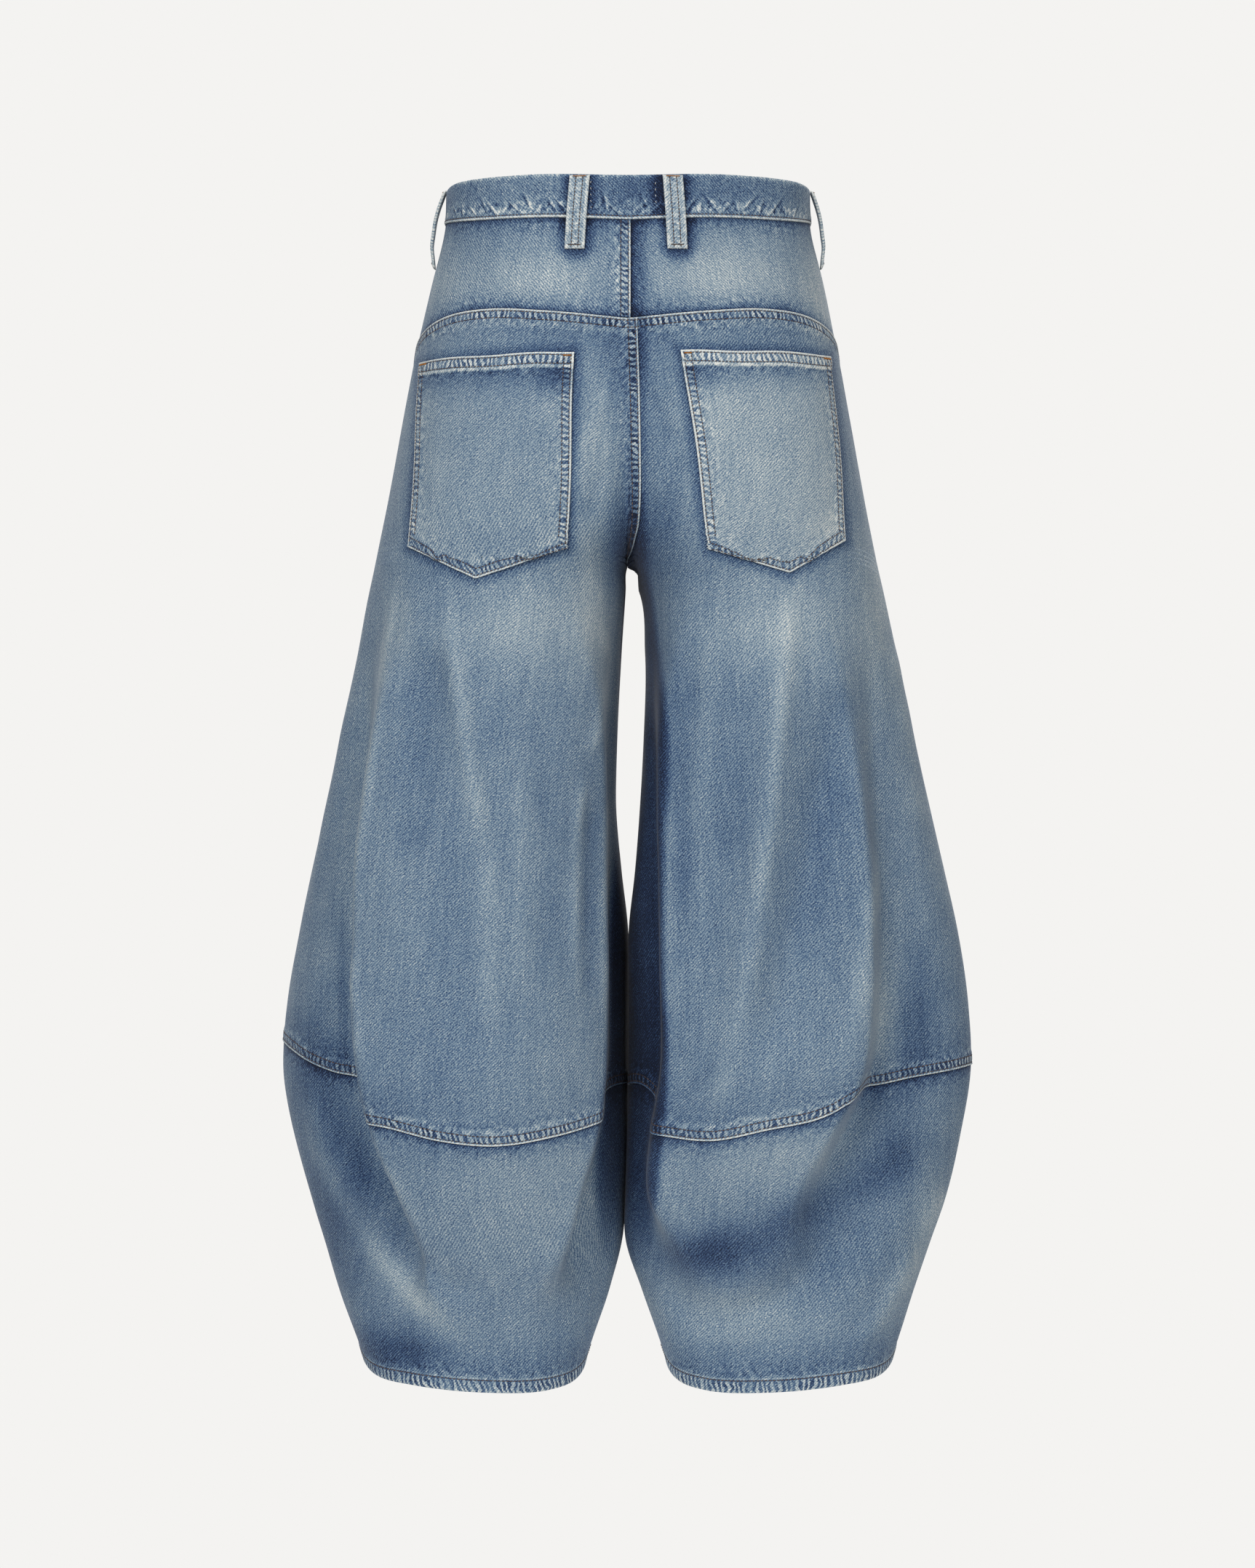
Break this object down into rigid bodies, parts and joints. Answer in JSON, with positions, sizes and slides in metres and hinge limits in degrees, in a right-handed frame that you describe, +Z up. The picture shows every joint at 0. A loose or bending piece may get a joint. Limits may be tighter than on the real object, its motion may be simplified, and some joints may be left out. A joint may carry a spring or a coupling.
{
  "type": "barrel leg trousers",
  "caption": "High-waisted denim trousers with a yoke, patch pockets and belt loops at the back, and wide legs that swell to a curved seam below the knee, then narrow.",
  "frame": {"origin": "centre of the waistband at half its height, where the wearer's waist holds the trousers", "axes": "+Z up along the legs towards the waist, -Y towards the wearer's front, +X towards the wearer's left"},
  "size_m": [0.5679, 0.3006, 0.981],
  "materials": {
    "denim": "washed mid-blue denim",
    "denim_lower": "washed mid-blue denim, a little less faded",
    "denim_faded": "faded denim, worn pale along its edges",
    "button_metal": "aged copper"
  },
  "bodies": {
    "root": {"yoke_left": "denim_faded", "back_leg_left": "denim", "front_leg_left": "denim", "lower_back_left": "denim_lower", "lower_front_left": "denim_lower", "yoke_right": "denim_faded", "back_leg_right": "denim", "front_leg_right": "denim", "lower_back_right": "denim_lower", "lower_front_right": "denim_lower", "pocket_left": "denim_faded", "pocket_right": "denim_faded", "waistband": "denim_faded", "loop_back_left": "denim_faded", "loop_back_right": "denim_faded", "loop_front_left": "denim_faded", "loop_front_right": "denim_faded", "loop_side_left": "denim_faded", "loop_side_right": "denim_faded", "button": "button_metal"}
  },
  "joints": []
}
